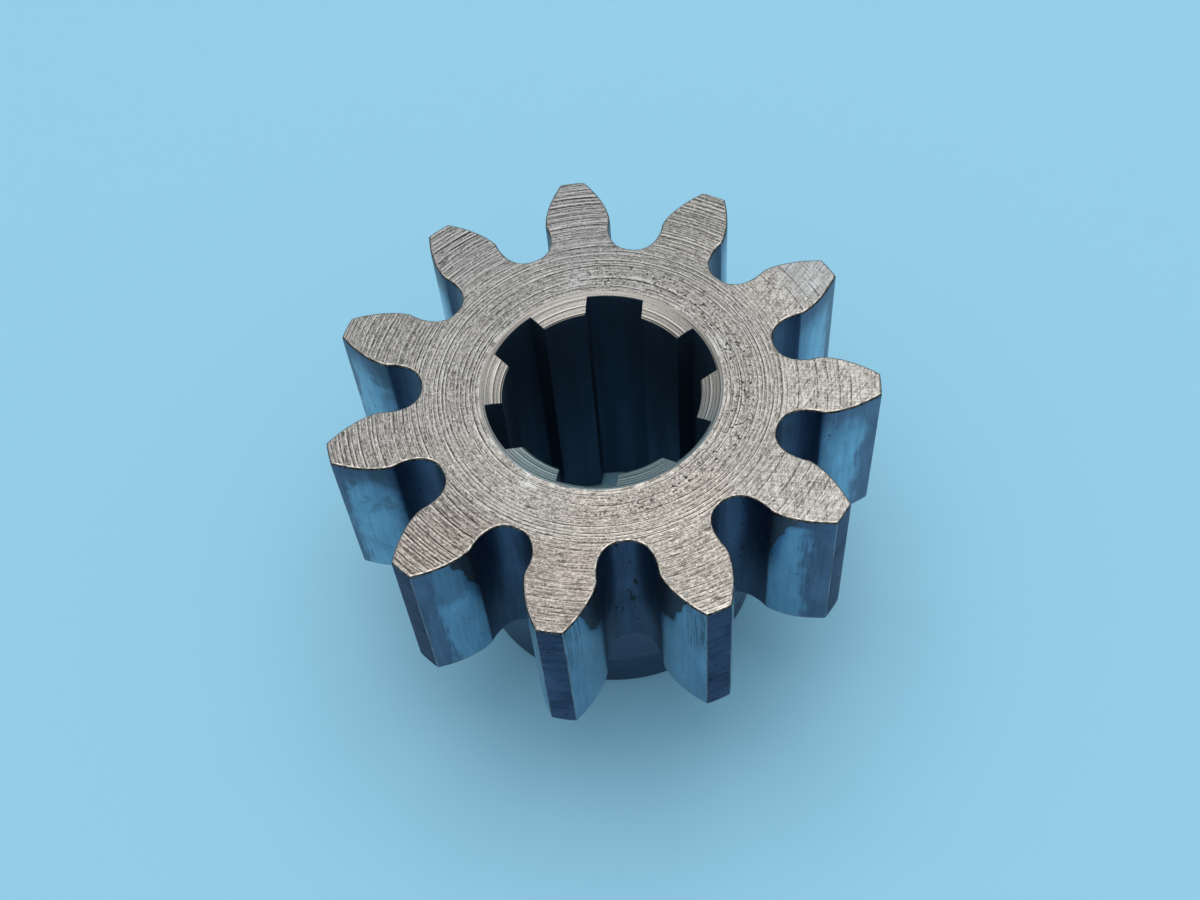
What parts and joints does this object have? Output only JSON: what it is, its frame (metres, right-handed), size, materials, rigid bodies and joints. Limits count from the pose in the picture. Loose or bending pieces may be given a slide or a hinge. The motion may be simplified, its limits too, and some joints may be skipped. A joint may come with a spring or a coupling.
{
  "type": "splined pinion gear",
  "caption": "Steel spur pinion with a straight-sided spline bore and a plain round hub below its teeth, to drive a gear or rack from a splined shaft.",
  "frame": {"origin": "on the bore axis at the hub's end face, on which the part stands", "axes": "+Z along the bore from the hub's end face to the gear's face; a tooth points along +Y"},
  "size_m": [0.0822, 0.0814, 0.0508],
  "materials": {
    "steel": "turned and cut steel, faces with concentric tool marks"
  },
  "bodies": {
    "root": {"pinion": "steel"}
  },
  "joints": []
}
